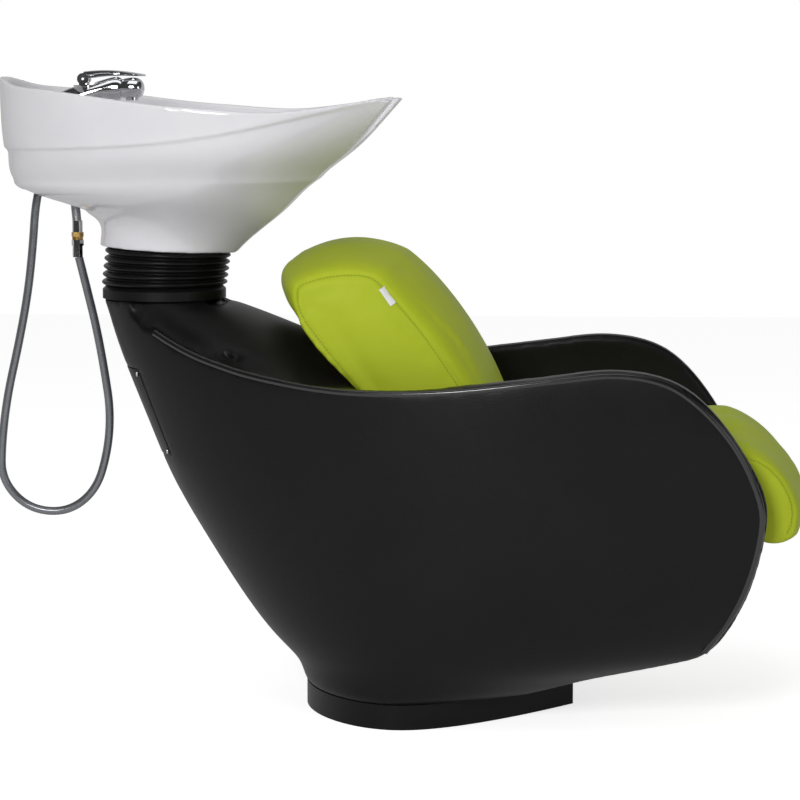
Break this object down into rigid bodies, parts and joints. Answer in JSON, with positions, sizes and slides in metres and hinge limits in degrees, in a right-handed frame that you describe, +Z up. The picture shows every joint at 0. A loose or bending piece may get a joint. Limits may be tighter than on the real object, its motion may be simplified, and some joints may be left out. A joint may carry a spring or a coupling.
{
  "type": "salon backwash unit",
  "caption": "Salon backwash unit: moulded bucket seat on a plinth, with cushions and a tilting wash bowl on a bellows neck, lever mixer, pull-out spray and hose loop.",
  "frame": {"origin": "on the floor under the middle of the plinth's anchor holes", "axes": "+X towards the sitter's knees, +Y to the sitter's left, +Z up"},
  "size_m": [1.2617, 0.628, 0.9881],
  "materials": {
    "black_moulding": "satin, finely grained",
    "black_paint": "satin powder coat",
    "zinc_steel": "zinc plated",
    "plywood": "sanded plywood",
    "green_leatherette": "satin leatherette with stitched seams",
    "black_rubber": "matt rubber",
    "white_glaze": "gloss glaze",
    "chrome": "polished",
    "grey_plastic": "moulded",
    "brass": "turned",
    "silver_hose": "smooth silver sheath",
    "steel_braid": "woven wire"
  },
  "bodies": {
    "stand": {"plinth": "black_moulding", "floor_plate": "black_paint", "frame_posts": "black_paint", "post_feet": "black_paint", "foot_bolts": "zinc_steel", "shell": "black_moulding", "service_panel": "black_moulding", "panel_screws": "zinc_steel", "shell_bolts": "zinc_steel", "seat_board": "plywood", "seat_cushion": "green_leatherette", "back_board": "plywood", "back_cushion": "green_leatherette", "seat_bolts": "zinc_steel", "back_bolts": "zinc_steel", "neck_collar": "black_moulding", "bellows": "black_rubber", "tilt_base": "zinc_steel", "pivot_pins": "zinc_steel", "pin_clips": "zinc_steel"},
    "bowl": {"bowl": "white_glaze", "tilt_head": "zinc_steel", "foot_gasket": "black_rubber", "bowl_bolts": "zinc_steel", "drain_body": "chrome", "drain_gasket": "black_rubber", "drain_nut": "grey_plastic", "mixer_body": "chrome", "mixer_base": "chrome", "mixer_shank": "zinc_steel", "mixer_washer": "zinc_steel", "mixer_nut": "zinc_steel", "inlet_tails": "brass", "cartridge": "grey_plastic", "shower_hose": "silver_hose", "braided_tail": "steel_braid", "tail_ferrule": "chrome", "brass_coupling": "brass", "coupling_nut": "chrome", "hose_ferrule": "chrome"},
    "lever_carrier": {"lever_carrier": "chrome"},
    "lever": {"mixer_lever": "chrome", "lever_pin": "zinc_steel"},
    "spray": {"spray_head": "chrome", "spray_face": "grey_plastic", "spray_stem": "grey_plastic"},
    "strainer": {"strainer": "chrome"}
  },
  "joints": [
    {"name": "bowl_tilt", "type": "hinge", "parent": "stand", "child": "bowl", "pos_m": [-0.43, 0, 0.672], "axis": [0, 1, 0], "range_deg": [-10, 6], "deforming": ["bellows"]},
    {"name": "lever_turn", "type": "hinge", "parent": "bowl", "child": "lever_carrier", "pos_m": [-0.552, 0, 0.9623], "axis": [0, 0, 1], "range_deg": [-40, 40]},
    {"name": "lever_lift", "type": "hinge", "parent": "lever_carrier", "child": "lever", "pos_m": [-0.552, 0, 0.9745], "axis": [0, -1, 0], "range_deg": [0, 20]},
    {"name": "spray_pull", "type": "slide", "parent": "bowl", "child": "spray", "axis": [1, 0, 0], "range_m": [0, 0.03]},
    {"name": "strainer_lift", "type": "slide", "parent": "bowl", "child": "strainer", "axis": [0, 0, 1], "range_m": [0, 0.3]}
  ]
}
